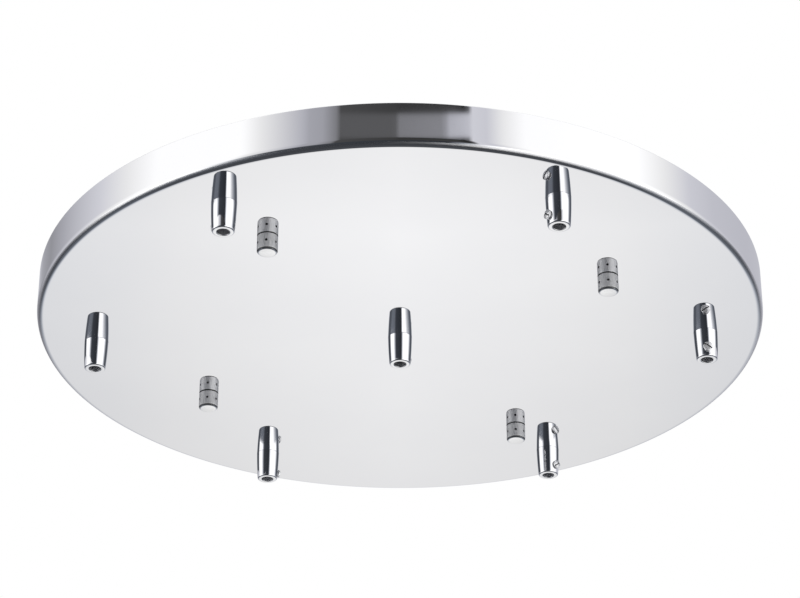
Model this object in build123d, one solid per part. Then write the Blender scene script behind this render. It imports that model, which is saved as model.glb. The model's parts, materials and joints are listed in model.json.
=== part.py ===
from build123d import *
import math
import os

# Ceiling canopy for seven pendant cords, in millimetres.
# The origin is on the ceiling plane, at the middle of the canopy. +Z points up into the ceiling,
# and X and Y run along the two straps of the bracket. The canopy hangs below the origin.

# Canopy pan
PAN_DIAMETER = 457.2
PAN_DEPTH = 27.5
PAN_SHEET = 1.2
PAN_CORNER_RADIUS = 4.0
PAN_RIM_ROUND = 0.4

# Places of the cord ports, inwards from the wall, and of the hanger studs, inwards from the ports
PORT_EDGE_MARGIN = 35.6
PORT_COUNT_AROUND = 6
STUD_INSET_FROM_PORTS = 44.5
STUD_COUNT = 4
PORT_CIRCLE_RADIUS = PAN_DIAMETER / 2 - PORT_EDGE_MARGIN
STUD_CIRCLE_RADIUS = PORT_CIRCLE_RADIUS - STUD_INSET_FROM_PORTS

# Cord grip, a turned and tapered bush
GRIP_LENGTH = 19.0
GRIP_TOP_DIAMETER = 15.2
GRIP_MOUTH_DIAMETER = 13.3
GRIP_SIDE_BULGE = 0.15
GRIP_TOP_CHAMFER = 0.15
GRIP_LIP_ROUND = 1.1
GRIP_MOUTH_ROUND = 0.5
GRIP_BORE_DIAMETER = 7.6
GRIP_SOCKET_DEPTH = 8.3

# Slotted clamp screw in the side of each grip
CLAMP_THREAD_DIAMETER = 3.0
CLAMP_DROP = 13.2
CLAMP_HEAD_DIAMETER = 5.8
CLAMP_HEAD_HEIGHT = 1.5
CLAMP_HEAD_ROUND = 0.35
CLAMP_HEAD_STANDOFF = 0.3
CLAMP_SLOT_WIDTH = 0.8
CLAMP_SLOT_DEPTH = 0.8
CLAMP_TIP_CHAMFER = 0.3
# Where each screw points, in degrees about Z, and how its slot leans: six ports around, then the middle
CLAMP_AZIMUTHS = (-103.0, -25.0, 32.0, 74.0, 153.0, 212.0, -5.0)
CLAMP_SLOT_LEANS = (40.0, 75.0, 60.0, 15.0, -38.0, -33.0, 20.0)

# Hollow threaded nipple, with its washer and lock nut inside the pan
NIPPLE_DIAMETER = 10.0
NIPPLE_BORE_DIAMETER = 6.8
NIPPLE_ENGAGEMENT = 8.0
NIPPLE_PROUD = 1.6
NIPPLE_CHAMFER = 0.4
NIPPLE_WASHER_DIAMETER = 17.0
NIPPLE_WASHER_THICKNESS = 0.8
NIPPLE_NUT_WIDTH = 14.0
NIPPLE_NUT_HEIGHT = 3.0

# Blind cap nut, with a row of holes round its side for a turning pin
CAP_NUT_DIAMETER = 12.5
CAP_NUT_HEIGHT = 11.0
CAP_NUT_EDGE_ROUND = 1.6
CAP_NUT_TOP_CHAMFER = 0.2
CAP_NUT_BORE_DEPTH = 8.5
CAP_NUT_BORE_CONE = 0.9
PIN_HOLE_COUNT = 6
PIN_HOLE_DIAMETER = 1.6
PIN_HOLE_DEPTH = 1.6
PIN_HOLE_DROP = 5.3
PIN_HOLE_AZIMUTH = 28.0

# Bracket of two crossed straps
BAR_WIDTH = 22.0
BAR_THICKNESS = 2.0
BAR_END_MARGIN = 11.0
BAR_CORNER_RADIUS = 5.0
BAR_BOSS_DIAMETER = 7.4
BAR_BOSS_DEPTH = 1.6
JOGGLE_HALF_FLAT = 13.5
JOGGLE_RAMP = 4.0
BAR_BEND_RADIUS = 1.2
BOX_SLOT_RADIUS = 39.5
BOX_SLOT_LENGTH = 22.0
BOX_SLOT_WIDTH = 4.8
PLUG_SLOT_SHARE_OF_STUD_CIRCLE = 0.707
PLUG_SLOT_RADIUS = PLUG_SLOT_SHARE_OF_STUD_CIRCLE * STUD_CIRCLE_RADIUS
PLUG_SLOT_LENGTH = 24.0
PLUG_SLOT_WIDTH = 5.6

# Rivet at the crossing, flush with the ceiling plane
RIVET_SHANK_DIAMETER = 6.0
RIVET_FLUSH_DIAMETER = 9.4
RIVET_UPSET_DIAMETER = 10.5
RIVET_UPSET_HEIGHT = 1.8

# Hanger studs and their lock nuts
STUD_DIAMETER = 4.0
STUD_TOP_GAP = 0.2
STUD_ENGAGEMENT = 7.0
STUD_CHAMFER = 0.5
STUD_PAN_HOLE_DIAMETER = 5.0
STUD_NUT_WIDTH = 7.0
STUD_NUT_HEIGHT = 3.2

# Earthing screw and its cup washer, on the flat strap, midway between two slots
BOX_SLOT_OUTER_END = BOX_SLOT_RADIUS + BOX_SLOT_LENGTH / 2
PLUG_SLOT_INNER_END = PLUG_SLOT_RADIUS - PLUG_SLOT_LENGTH / 2
GROUND_SCREW_RADIUS = (BOX_SLOT_OUTER_END + PLUG_SLOT_INNER_END) / 2
GROUND_SCREW_DIAMETER = 4.0
GROUND_HEAD_DIAMETER = 8.0
GROUND_HEAD_HEIGHT = 2.4
GROUND_HEAD_ROUND = 0.8
GROUND_SLOT_WIDTH = 1.2
GROUND_SLOT_DEPTH = 1.2
GROUND_WASHER_DIAMETER = 9.6
GROUND_WASHER_THICKNESS = 0.8
GROUND_WASHER_CUP = 0.9

# Clearances, each on the radius
THREAD_CLEARANCE = 0.05
NIPPLE_CLEARANCE = 0.15

# Heights worked out from the sizes above
FACE_Z = -PAN_DEPTH
PAN_FLOOR_Z = FACE_Z + PAN_SHEET
BAR_UNDERSIDE_Z = -BAR_THICKNESS
CROSSING_UNDERSIDE_Z = -2 * BAR_THICKNESS
MOUTH_Z = FACE_Z - GRIP_LENGTH
CLAMP_Z = FACE_Z - CLAMP_DROP


def around(radius, count):
    """Points evenly spaced on a circle, the first on +X."""
    step = 2 * math.pi / count
    return [(radius * math.cos(i * step), radius * math.sin(i * step)) for i in range(count)]


PORT_PLACES = around(PORT_CIRCLE_RADIUS, PORT_COUNT_AROUND) + [(0.0, 0.0)]
STUD_PLACES = around(STUD_CIRCLE_RADIUS, STUD_COUNT)


def turned(outline):
    """A solid turned about Z from a closed outline of (radius, height) points."""
    with BuildPart() as piece:
        with BuildSketch(Plane.XZ):
            with BuildLine():
                Polyline(*outline, close=True)
            make_face()
        revolve(axis=Axis.Z)
    return piece.part


def disc(diameter, top_z, height):
    """A plain round solid that hangs from top_z."""
    return Pos(0, 0, top_z - height / 2) * Cylinder(diameter / 2, height)


def hexagon_nut(width_across_flats, height, bore_diameter, top_z):
    """A hexagon nut that hangs from top_z, with its corners turned back on both faces."""
    corner_radius = width_across_flats / math.sqrt(3)
    corner_cut = corner_radius - width_across_flats / 2
    with BuildPart() as nut:
        with BuildSketch(Plane.XY.offset(top_z - height)):
            RegularPolygon(corner_radius, 6)
            Circle(bore_diameter / 2, mode=Mode.SUBTRACT)
        extrude(amount=height)
    turned_blank = turned([
        (0, top_z),
        (corner_radius - corner_cut, top_z),
        (corner_radius, top_z - corner_cut / 2),
        (corner_radius, top_z - height + corner_cut / 2),
        (corner_radius - corner_cut, top_z - height),
        (0, top_z - height),
    ])
    return nut.part & turned_blank


def canopy_pan():
    """The pan: a low round tray, open to the ceiling, with holes for the nipples and the studs."""
    outer = disc(PAN_DIAMETER, 0, PAN_DEPTH)
    outer = fillet(outer.edges().group_by(Axis.Z)[0], PAN_CORNER_RADIUS)
    inner = disc(PAN_DIAMETER - 2 * PAN_SHEET, 0, PAN_DEPTH - PAN_SHEET)
    inner = fillet(inner.edges().group_by(Axis.Z)[0], PAN_CORNER_RADIUS - PAN_SHEET)
    pan = outer - inner
    pan = fillet(pan.edges().group_by(Axis.Z)[-1], min(PAN_RIM_ROUND, PAN_SHEET / 3))
    port_hole = disc(NIPPLE_DIAMETER + 2 * NIPPLE_CLEARANCE, PAN_FLOOR_Z + PAN_SHEET, 3 * PAN_SHEET)
    for x, y in PORT_PLACES:
        pan -= Pos(x, y, 0) * port_hole
    stud_hole = disc(STUD_PAN_HOLE_DIAMETER, PAN_FLOOR_Z + PAN_SHEET, 3 * PAN_SHEET)
    for x, y in STUD_PLACES:
        pan -= Pos(x, y, 0) * stud_hole
    return pan


def grip_radius_at(drop):
    """Outer radius of the tapered side of a grip, at a depth below the face."""
    top = GRIP_TOP_DIAMETER / 2
    taper = (GRIP_TOP_DIAMETER - GRIP_MOUTH_DIAMETER) / 2
    along = drop / GRIP_LENGTH
    return top - taper * along + 4 * GRIP_SIDE_BULGE * along * (1 - along)


def grip_blank():
    """The turned grip on the axis, without its cross hole."""
    top_radius = GRIP_TOP_DIAMETER / 2
    mouth_radius = GRIP_MOUTH_DIAMETER / 2
    bore_radius = GRIP_BORE_DIAMETER / 2
    socket_radius = NIPPLE_DIAMETER / 2 + THREAD_CLEARANCE
    socket_end = FACE_Z - GRIP_SOCKET_DEPTH
    middle = (grip_radius_at(GRIP_LENGTH / 2), FACE_Z - GRIP_LENGTH / 2)
    with BuildPart() as grip:
        with BuildSketch(Plane.XZ) as section:
            with BuildLine():
                ThreePointArc((top_radius, FACE_Z), middle, (mouth_radius, MOUTH_Z))
                Polyline(
                    (mouth_radius, MOUTH_Z),
                    (bore_radius, MOUTH_Z),
                    (bore_radius, socket_end),
                    (socket_radius, socket_end),
                    (socket_radius, FACE_Z),
                    (top_radius, FACE_Z),
                )
            make_face()
            corners = section.vertices()
            lip = corners.group_by(Axis.Y)[0].sort_by(Axis.X)
            fillet(lip[-1], GRIP_LIP_ROUND)
            fillet(section.vertices().group_by(Axis.Y)[0].sort_by(Axis.X)[0], GRIP_MOUTH_ROUND)
            chamfer(section.vertices().group_by(Axis.Y)[-1].sort_by(Axis.X)[-1], GRIP_TOP_CHAMFER)
        revolve(axis=Axis.Z)
    return grip.part


def clamp_frame(azimuth):
    """A plane whose normal points outwards along a clamp screw, with its origin on the grip's axis."""
    outwards = Vector(math.cos(math.radians(azimuth)), math.sin(math.radians(azimuth)), 0)
    sideways = Vector(-outwards.Y, outwards.X, 0)
    return Plane(origin=(0, 0, CLAMP_Z), x_dir=sideways, z_dir=outwards)


def cord_grip(blank, azimuth):
    """One grip, cross drilled for its clamp screw."""
    hole_radius = CLAMP_THREAD_DIAMETER / 2 + THREAD_CLEARANCE
    reach = GRIP_TOP_DIAMETER
    hole = Pos(0, 0, reach / 2) * Cylinder(hole_radius, reach)
    return blank - clamp_frame(azimuth).location * hole


def clamp_screw(azimuth, slot_lean):
    """A slotted screw that stands in the side of a grip, with its tip level with the bore."""
    thread_radius = CLAMP_THREAD_DIAMETER / 2
    tip = GRIP_BORE_DIAMETER / 2 + THREAD_CLEARANCE
    seat = grip_radius_at(CLAMP_DROP - CLAMP_HEAD_DIAMETER / 2) + CLAMP_HEAD_STANDOFF
    top = seat + CLAMP_HEAD_HEIGHT
    body = turned([
        (0, tip),
        (thread_radius - CLAMP_TIP_CHAMFER, tip),
        (thread_radius, tip + CLAMP_TIP_CHAMFER),
        (thread_radius, seat),
        (CLAMP_HEAD_DIAMETER / 2, seat),
        (CLAMP_HEAD_DIAMETER / 2, top),
        (0, top),
    ])
    body = fillet(body.edges().group_by(Axis.Z)[-1], CLAMP_HEAD_ROUND)
    slot_box = Box(2 * CLAMP_HEAD_DIAMETER, CLAMP_SLOT_WIDTH, 2 * CLAMP_SLOT_DEPTH)
    slot = Pos(0, 0, top) * Rot(0, 0, slot_lean) * slot_box
    return clamp_frame(azimuth).location * (body - slot)


def threaded_nipple():
    """The hollow nipple that joins a grip to the pan, on the axis."""
    radius = NIPPLE_DIAMETER / 2
    bore_radius = NIPPLE_BORE_DIAMETER / 2
    top = PAN_FLOOR_Z + NIPPLE_WASHER_THICKNESS + NIPPLE_NUT_HEIGHT + NIPPLE_PROUD
    bottom = FACE_Z - NIPPLE_ENGAGEMENT
    return turned([
        (bore_radius, bottom),
        (radius - NIPPLE_CHAMFER, bottom),
        (radius, bottom + NIPPLE_CHAMFER),
        (radius, top - NIPPLE_CHAMFER),
        (radius - NIPPLE_CHAMFER, top),
        (bore_radius, top),
    ])


def nipple_washer():
    """The flat washer between the pan and a lock nut, on the axis."""
    top = PAN_FLOOR_Z + NIPPLE_WASHER_THICKNESS
    washer = disc(NIPPLE_WASHER_DIAMETER, top, NIPPLE_WASHER_THICKNESS)
    hole = disc(NIPPLE_DIAMETER + 2 * NIPPLE_CLEARANCE, top, NIPPLE_WASHER_THICKNESS)
    return washer - hole


def nipple_lock_nut():
    """The thin hexagon nut on a nipple, on the axis."""
    top = PAN_FLOOR_Z + NIPPLE_WASHER_THICKNESS + NIPPLE_NUT_HEIGHT
    bore = NIPPLE_DIAMETER + 2 * THREAD_CLEARANCE
    return hexagon_nut(NIPPLE_NUT_WIDTH, NIPPLE_NUT_HEIGHT, bore, top)


def cap_nut():
    """A blind round nut with a rounded end and pin holes round its side, on the axis."""
    radius = CAP_NUT_DIAMETER / 2
    bottom = FACE_Z - CAP_NUT_HEIGHT
    bore_radius = STUD_DIAMETER / 2 + THREAD_CLEARANCE
    bore_end = FACE_Z - CAP_NUT_BORE_DEPTH
    nut = turned([
        (bore_radius, FACE_Z),
        (radius - CAP_NUT_TOP_CHAMFER, FACE_Z),
        (radius, FACE_Z - CAP_NUT_TOP_CHAMFER),
        (radius, bottom),
        (0, bottom),
        (0, bore_end - CAP_NUT_BORE_CONE),
        (bore_radius, bore_end),
    ])
    nut = fillet(nut.edges().group_by(Axis.Z)[0], CAP_NUT_EDGE_ROUND)
    pin = Rot(0, 90, 0) * Cylinder(PIN_HOLE_DIAMETER / 2, 2 * PIN_HOLE_DEPTH)
    pin = Pos(radius, 0, FACE_Z - PIN_HOLE_DROP) * pin
    for number in range(PIN_HOLE_COUNT):
        nut -= Rot(0, 0, PIN_HOLE_AZIMUTH + number * 360 / PIN_HOLE_COUNT) * pin
    return nut


def slot_cutter(length, width):
    """A round-ended cutter along X, through both thicknesses of the bracket."""
    depth = 4 * BAR_THICKNESS
    straight = length - width
    cutter = Box(straight, width, depth)
    for side in (-1, 1):
        cutter += Pos(side * straight / 2, 0, 0) * Cylinder(width / 2, depth)
    return cutter


def strap_blank(joggled):
    """One strap along X, flat on the ceiling, or stepped down where it passes under the other."""
    half_length = STUD_CIRCLE_RADIUS + BAR_END_MARGIN
    ramp_start = JOGGLE_HALF_FLAT + JOGGLE_RAMP
    bends = []
    if joggled:
        bends = [
            (-ramp_start, 0),
            (-JOGGLE_HALF_FLAT, -BAR_THICKNESS),
            (JOGGLE_HALF_FLAT, -BAR_THICKNESS),
            (ramp_start, 0),
        ]
    top_line = [(-half_length, 0)] + bends + [(half_length, 0)]
    lower_line = [(x, z - BAR_THICKNESS) for x, z in reversed(top_line)]
    with BuildPart() as strap:
        with BuildSketch(Plane.XZ) as section:
            with BuildLine():
                Polyline(*top_line, *lower_line, close=True)
            make_face()
            bent = [v for v in section.vertices() if abs(v.X) < ramp_start + BAR_BEND_RADIUS]
            if bent:
                fillet(bent, BAR_BEND_RADIUS)
        extrude(amount=BAR_WIDTH / 2, both=True)
        corners = strap.edges().filter_by(Axis.Z)
        fillet(corners, BAR_CORNER_RADIUS)
    return strap.part


def bracket_bar(joggled):
    """One strap of the bracket, with its slots, drawn bosses and rivet hole, along X."""
    bar = strap_blank(joggled)
    boss = disc(BAR_BOSS_DIAMETER, BAR_UNDERSIDE_Z, BAR_BOSS_DEPTH)
    thread_hole = Cylinder(STUD_DIAMETER / 2 + THREAD_CLEARANCE, 4 * (BAR_THICKNESS + BAR_BOSS_DEPTH))
    for side in (-1, 1):
        bar += Pos(side * STUD_CIRCLE_RADIUS, 0, 0) * boss
        bar -= Pos(side * STUD_CIRCLE_RADIUS, 0, 0) * thread_hole
        bar -= Pos(side * PLUG_SLOT_RADIUS, 0, 0) * slot_cutter(PLUG_SLOT_LENGTH, PLUG_SLOT_WIDTH)
        bar -= Pos(side * BOX_SLOT_RADIUS, 0, 0) * slot_cutter(BOX_SLOT_LENGTH, BOX_SLOT_WIDTH)
    return bar


def bracket_bar_flat():
    """The strap along X, countersunk for the rivet and tapped for the earthing screw."""
    bar = bracket_bar(joggled=False) - rivet_cutter()
    ground_hole_radius = GROUND_SCREW_DIAMETER / 2 + THREAD_CLEARANCE
    return bar - Pos(-GROUND_SCREW_RADIUS, 0, 0) * Cylinder(ground_hole_radius, 4 * BAR_THICKNESS)


def bracket_bar_joggled():
    """The strap along Y, which steps down under the flat one."""
    return Rot(0, 0, 90) * bracket_bar(joggled=True) - rivet_cutter()


def rivet_outline(clearance):
    """The rivet's flush head and shank as (radius, height) points, grown by a clearance."""
    shank = RIVET_SHANK_DIAMETER / 2 + clearance
    flush = RIVET_FLUSH_DIAMETER / 2 + clearance
    cone = (RIVET_FLUSH_DIAMETER - RIVET_SHANK_DIAMETER) / 2
    return [(0, 0), (flush, 0), (shank, -cone), (shank, CROSSING_UNDERSIDE_Z)]


def rivet_cutter():
    """The countersunk hole for the rivet, through both straps."""
    return turned(rivet_outline(THREAD_CLEARANCE) + [(0, CROSSING_UNDERSIDE_Z)])


def bracket_rivet():
    """The rivet at the crossing, flush above and upset to a low dome below."""
    upset = RIVET_UPSET_DIAMETER / 2
    low = CROSSING_UNDERSIDE_Z - RIVET_UPSET_HEIGHT
    rivet = turned(rivet_outline(0) + [(upset, CROSSING_UNDERSIDE_Z), (upset, low), (0, low)])
    return fillet(rivet.edges().group_by(Axis.Z)[0], RIVET_UPSET_HEIGHT * 0.6)


def hanger_stud():
    """A threaded stud on the axis, from the strap down into a cap nut."""
    radius = STUD_DIAMETER / 2
    top = -STUD_TOP_GAP
    bottom = FACE_Z - STUD_ENGAGEMENT
    return turned([
        (0, bottom),
        (radius - STUD_CHAMFER, bottom),
        (radius, bottom + STUD_CHAMFER),
        (radius, top),
        (0, top),
    ])


def stud_lock_nut():
    """The hexagon nut that locks a stud against the boss of its strap, on the axis."""
    top = BAR_UNDERSIDE_Z - BAR_BOSS_DEPTH
    return hexagon_nut(STUD_NUT_WIDTH, STUD_NUT_HEIGHT, STUD_DIAMETER + 2 * THREAD_CLEARANCE, top)


def ground_screw():
    """The slotted earthing screw under the flat strap."""
    thread_radius = GROUND_SCREW_DIAMETER / 2
    head_radius = GROUND_HEAD_DIAMETER / 2
    seat = BAR_UNDERSIDE_Z - GROUND_WASHER_THICKNESS
    low = seat - GROUND_HEAD_HEIGHT
    screw = turned([
        (0, low),
        (head_radius, low),
        (head_radius, seat),
        (thread_radius, seat),
        (thread_radius, -STUD_TOP_GAP),
        (0, -STUD_TOP_GAP),
    ])
    screw = fillet(screw.edges().group_by(Axis.Z)[0], GROUND_HEAD_ROUND)
    slot = Pos(0, 0, low) * Box(2 * GROUND_HEAD_DIAMETER, GROUND_SLOT_WIDTH, 2 * GROUND_SLOT_DEPTH)
    return Pos(-GROUND_SCREW_RADIUS, 0, 0) * (screw - slot)


def ground_washer():
    """The cup washer round the earthing screw, with its rim turned down to hold a wire."""
    hole_radius = GROUND_SCREW_DIAMETER / 2 + NIPPLE_CLEARANCE
    rim_radius = GROUND_WASHER_DIAMETER / 2
    inner_rim = rim_radius - GROUND_WASHER_THICKNESS / 2
    low = BAR_UNDERSIDE_Z - GROUND_WASHER_THICKNESS
    washer = turned([
        (hole_radius, BAR_UNDERSIDE_Z),
        (rim_radius, BAR_UNDERSIDE_Z),
        (rim_radius, low - GROUND_WASHER_CUP),
        (inner_rim, low - GROUND_WASHER_CUP),
        (inner_rim, low),
        (hole_radius, low),
    ])
    return Pos(-GROUND_SCREW_RADIUS, 0, 0) * washer


def at_places(piece, places):
    """Separate copies of one piece, kept as a group."""
    return Compound(children=[Pos(x, y, 0) * piece for x, y in places])


def all_nodes():
    """Every sub-part by its node name."""
    nodes = {
        "canopy_pan": canopy_pan(),
        "nipple_washers": at_places(nipple_washer(), PORT_PLACES),
        "nipple_lock_nuts": at_places(nipple_lock_nut(), PORT_PLACES),
        "bracket_bar_flat": bracket_bar_flat(),
        "bracket_bar_joggled": bracket_bar_joggled(),
        "bracket_rivet": bracket_rivet(),
        "bracket_studs": at_places(hanger_stud(), STUD_PLACES),
        "stud_lock_nuts": at_places(stud_lock_nut(), STUD_PLACES),
        "ground_screw": ground_screw(),
        "ground_washer": ground_washer(),
    }
    blank = grip_blank()
    nipple = threaded_nipple()
    ports = zip(PORT_PLACES, CLAMP_AZIMUTHS, CLAMP_SLOT_LEANS)
    for number, ((x, y), azimuth, lean) in enumerate(ports, start=1):
        nodes[f"cord_grip_{number}"] = Pos(x, y, 0) * cord_grip(blank, azimuth)
        nodes[f"clamp_screw_{number}"] = Pos(x, y, 0) * clamp_screw(azimuth, lean)
        nodes[f"threaded_nipple_{number}"] = Pos(x, y, 0) * nipple
    nut = cap_nut()
    for number, (x, y) in enumerate(STUD_PLACES, start=1):
        nodes[f"cap_nut_{number}"] = Pos(x, y, 0) * nut
    return nodes


os.makedirs("parts", exist_ok=True)
for name, shape in all_nodes().items():
    export_step(shape, f"parts/{name}.step")
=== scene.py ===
import bpy
import bmesh
import json
import math
from mathutils import Matrix, Vector

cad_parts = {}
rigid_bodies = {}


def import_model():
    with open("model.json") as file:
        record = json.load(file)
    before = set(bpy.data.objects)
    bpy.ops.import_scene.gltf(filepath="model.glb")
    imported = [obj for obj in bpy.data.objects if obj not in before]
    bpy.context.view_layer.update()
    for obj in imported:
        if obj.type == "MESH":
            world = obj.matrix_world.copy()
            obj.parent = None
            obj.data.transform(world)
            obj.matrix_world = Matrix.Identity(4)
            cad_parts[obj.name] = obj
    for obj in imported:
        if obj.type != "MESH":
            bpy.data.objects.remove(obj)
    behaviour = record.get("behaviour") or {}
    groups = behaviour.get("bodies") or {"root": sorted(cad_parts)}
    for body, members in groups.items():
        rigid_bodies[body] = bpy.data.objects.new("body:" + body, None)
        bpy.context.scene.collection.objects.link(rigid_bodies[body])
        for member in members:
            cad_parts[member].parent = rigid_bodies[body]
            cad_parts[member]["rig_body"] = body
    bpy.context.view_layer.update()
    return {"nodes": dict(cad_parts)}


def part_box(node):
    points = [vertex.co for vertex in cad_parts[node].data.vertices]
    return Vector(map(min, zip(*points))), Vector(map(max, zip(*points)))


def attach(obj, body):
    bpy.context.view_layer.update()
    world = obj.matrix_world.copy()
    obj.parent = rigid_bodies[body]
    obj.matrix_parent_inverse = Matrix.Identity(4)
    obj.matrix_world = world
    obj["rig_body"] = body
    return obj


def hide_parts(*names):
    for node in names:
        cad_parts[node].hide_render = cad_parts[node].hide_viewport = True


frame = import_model()
MM = 0.001


# Studio
# A plain white room with soft boxes on both sides, a dark card behind the camera and darker corners,
# which is what gives bare chrome its light and dark bands. The floor is pale and plain.

CAMERA_TURN = math.radians(211.8)
CAMERA_DISTANCE = 1.656
CAMERA_BELOW = math.radians(29.03)
CAMERA_AIM = Vector((0, 0, 0.7 * MM))
CAMERA_LENS = 116.65
FLOOR_DROP = 4.0
FLOOR_RADIUS = 25.0
FLOOR_TONE = (0.92, 0.92, 0.92, 1)
DARK_FLOOR_TONE = (0.07, 0.075, 0.085, 1)

towards_camera = Vector((math.cos(CAMERA_TURN), math.sin(CAMERA_TURN), 0))
right_of_camera = Vector((-towards_camera.y, towards_camera.x, 0))


def shown(name, data):
    """A new object in the scene, with its own mesh or camera data."""
    thing = bpy.data.objects.new(name, data)
    bpy.context.scene.collection.objects.link(thing)
    return thing


def photo_camera():
    """The camera at the photograph's angle, looking up at the canopy from below."""
    data = bpy.data.cameras.new("photo_camera")
    data.sensor_width = 36.0
    data.lens = CAMERA_LENS
    data.clip_start = 0.05
    data.clip_end = 100.0
    camera = shown("photo_camera", data)
    reach = CAMERA_DISTANCE * math.cos(CAMERA_BELOW)
    camera.location = towards_camera * reach - Vector((0, 0, CAMERA_DISTANCE * math.sin(CAMERA_BELOW)))
    camera.rotation_mode = "QUATERNION"
    camera.rotation_quaternion = (CAMERA_AIM - camera.location).to_track_quat("-Z", "Y")
    bpy.context.scene.camera = camera


def feed(tree, socket, value):
    """Gives an input socket a value, a link from another node's output, or a list of such links."""
    for each in value if isinstance(value, list) else [value]:
        if isinstance(each, bpy.types.NodeSocket):
            tree.links.new(each, socket)
        elif each is not None:
            socket.default_value = each


def add_node(tree, kind, inputs=None, **settings):
    """A node with its own settings, and with its inputs fed by name or number. Returns its outputs."""
    node = tree.nodes.new(kind)
    for name, value in settings.items():
        setattr(node, name, value)
    for name, value in (inputs or {}).items():
        feed(tree, node.inputs[name], value)
    return node.outputs


def sums(tree, operation, *values):
    """A math node fed by sockets or numbers. Returns its result socket."""
    return add_node(tree, "ShaderNodeMath", dict(enumerate(values)), operation=operation)[0]


def vector_sums(tree, operation, *values):
    """A vector math node fed by sockets or vectors. Returns its outputs."""
    return add_node(tree, "ShaderNodeVectorMath", dict(enumerate(values)), operation=operation)


def band_ramp(tree, turn, stops, green=0.12, blue=0.35, pale_tint=False):
    """Grey levels round the room, from (degrees right of the camera, level) stops. The dark ones are tinted,
    or the middle ones where pale_tint is set."""
    ramp = tree.nodes.new("ShaderNodeValToRGB")
    elements = ramp.color_ramp.elements
    elements.remove(elements[1])
    for number, (degrees, level) in enumerate(stops):
        place = degrees / 360 + 0.5
        element = elements[0] if number == 0 else elements.new(place)
        element.position = place
        depth = max(0, 1 - level) * (level if pale_tint else 1)
        element.color = (level, level * (1 + green * depth), level * (1 + blue * depth), 1)
    feed(tree, ramp.inputs["Fac"], turn)
    return ramp.outputs["Color"]


def blended(tree, share, first, second, blend="MIX"):
    """A mix of two colours by a share socket."""
    return add_node(tree, "ShaderNodeMix", {"Factor": share, "A": first, "B": second},
                    data_type="RGBA", blend_type=blend)["Result"]


def ranged(tree, value, low, high, from_low=0.0, from_high=1.0, step="LINEAR"):
    """A value carried from one range to another."""
    return add_node(tree, "ShaderNodeMapRange", {
        "Value": value, "From Min": from_low, "From Max": from_high, "To Min": low, "To Max": high,
    }, interpolation_type=step)["Result"]


# Levels above the horizon, which the low wall shows: soft boxes on both sides of a grey card
LEFT_BANDS = [
    (-180, 0.70), (-169, 0.60), (-157, 0.40), (-145, 0.33), (-133, 0.45), (-108, 0.76), (-95, 1.0),
    (-82, 1.25), (-50, 1.25), (-44, 1.0), (-30, 0.54), (-28, 0.45), (-24, 0.42), (-19.5, 0.24),
]
RIGHT_BANDS = [
    (21.8, 0.76), (27, 0.72), (32, 1.0), (39, 1.25), (78, 1.3), (91, 1.0), (103, 0.72), (116, 0.63),
    (141, 0.57), (165, 0.54), (180, 0.70),
]
CARD_BANDS = [(-18.3, 0.12), (-1.5, 0.12), (-0.3, 0.24), (13.7, 0.29), (14.8, 0.52), (21, 0.62)]
CARD_EDGE_BANDS = [(-18.3, 0.075), (-1.5, 0.055), (0, 0.045), (12, 0.05), (17, 0.05), (18.5, 0.03),
                   (21, 0.02)]
# Levels below the horizon, which the grips, the nuts and the mirror face show, and further down under the
# soft boxes. Behind the object both are alike and pale.
BEHIND_LEFT = [(-180, 1.12), (-176.6, 1.07), (-174.4, 1.02), (-172.4, 0.94), (-168, 0.85), (-163, 0.72),
               (-155, 0.42), (-146, 0.16)]
BEHIND_RIGHT = [(163, 0.75), (168, 0.85), (172.4, 0.94), (174.4, 1.02), (176.6, 1.07), (180, 1.12)]
LOW_BANDS = [
    (-138, 0.09), (-112, 0.08), (-102, 0.9), (-96, 2.0), (-64, 2.0), (-50, 0.6), (-40, 0.07), (14, 0.04),
    (19, 0.5), (30, 2.0), (84, 2.0), (104, 0.5), (116, 0.10), (138, 0.14), (148, 0.34), (155, 0.55),
]
DEEP_BANDS = [
    (-115, 0.10), (-90, 0.22), (-60, 0.20), (-42, 0.06), (13, 0.035), (19, 0.8), (24, 1.8), (55, 1.7),
    (75, 0.8), (100, 0.30), (118, 0.12), (146, 0.16), (155, 0.45),
]


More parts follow.
